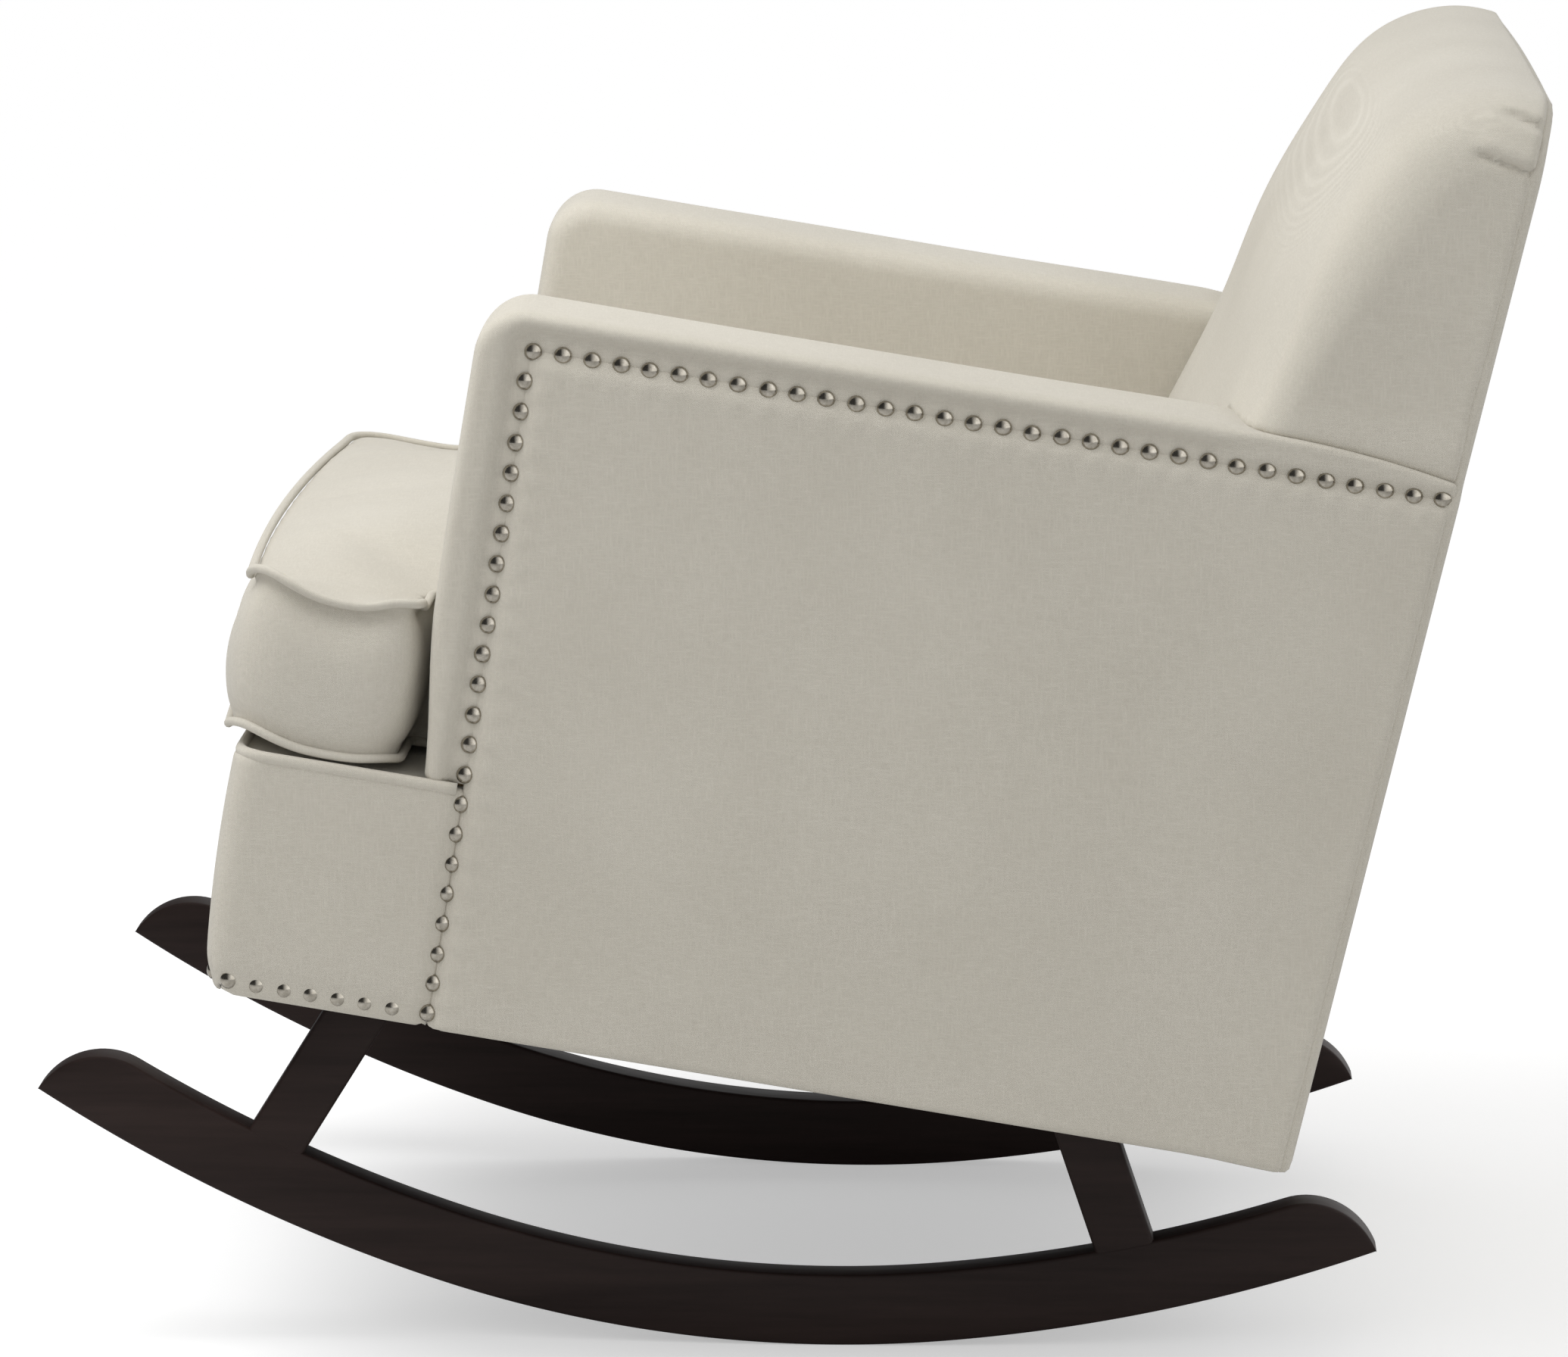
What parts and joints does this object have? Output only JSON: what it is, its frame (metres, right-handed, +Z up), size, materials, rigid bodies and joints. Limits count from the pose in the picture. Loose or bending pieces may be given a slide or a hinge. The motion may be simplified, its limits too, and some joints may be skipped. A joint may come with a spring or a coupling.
{
  "type": "rocking chair",
  "caption": "Upholstered rocking chair with nailhead trim, a loose T-shaped seat cushion and a dark wooden bow-runner base.",
  "frame": {"origin": "on the floor, at the middle of the overall bounding box, with the chair at rest on its runners", "axes": "+Z up, the chair faces -Y, +X across the seat towards the sitter's left-hand arm"},
  "size_m": [0.718, 0.9612, 0.8193],
  "materials": {
    "rocker_wood": "espresso stain under a satin lacquer",
    "frame_wood": "rough sawn, unfinished",
    "plywood": "unfinished plywood",
    "hardware_steel": "zinc plated",
    "spring_steel": "plain spring wire",
    "webbing": "woven elastic webbing",
    "burlap": "woven jute",
    "foam": "polyurethane foam",
    "fibreboard": "pressed board",
    "linen": "plain woven beige linen",
    "dust_cloth": "spun-bonded black cloth",
    "nailhead_metal": "antique pewter plating",
    "zip_tape": "woven zip tape",
    "zip_metal": "antique plated"
  },
  "bodies": {
    "chair": {"runner_left": "rocker_wood", "runner_right": "rocker_wood", "leg_front_left": "rocker_wood", "leg_front_right": "rocker_wood", "leg_rear_left": "rocker_wood", "leg_rear_right": "rocker_wood", "leg_dowels": "frame_wood", "leg_bolts": "hardware_steel", "leg_washers": "hardware_steel", "leg_nuts": "hardware_steel", "seat_rail_front": "frame_wood", "seat_rail_left": "frame_wood", "seat_rail_right": "frame_wood", "seat_rail_rear": "frame_wood", "seat_rail_cross": "frame_wood", "spring_rail": "frame_wood", "ear_rail_left": "frame_wood", "ear_rail_right": "frame_wood", "corner_blocks": "frame_wood", "arm_post_left": "frame_wood", "arm_post_right": "frame_wood", "arm_board_left": "frame_wood", "arm_board_right": "frame_wood", "arm_liner_left": "plywood", "arm_liner_right": "plywood", "arm_rail_left": "frame_wood", "arm_rail_right": "frame_wood", "back_side_left": "plywood", "back_side_right": "plywood", "back_crest_rail": "frame_wood", "back_lower_rail": "frame_wood", "back_webbing": "webbing", "seat_springs": "spring_steel", "spring_clips": "spring_steel", "deck_cloth": "burlap", "deck_pad": "foam", "deck_cover": "linen", "arm_stiffener_left": "fibreboard", "arm_stiffener_right": "fibreboard", "back_stiffener": "fibreboard", "outside_arm_left": "linen", "outside_arm_right": "linen", "arm_cover_left": "linen", "arm_cover_right": "linen", "front_cover": "linen", "lip_welt": "linen", "inside_back": "linen", "outside_back": "linen", "dust_cover": "dust_cloth", "nails_left": "nailhead_metal", "nails_right": "nailhead_metal", "nails_front": "nailhead_metal"},
    "seat_cushion": {"cushion_core": "foam", "cushion_cover": "linen", "piping_top": "linen", "piping_bottom": "linen", "zip_tape": "zip_tape", "zip_puller": "zip_metal"}
  },
  "joints": [
    {"name": "cushion_lift", "type": "slide", "parent": "chair", "child": "seat_cushion", "axis": [0, 0.1573, 0.9876], "range_m": [0, 0.32]}
  ]
}
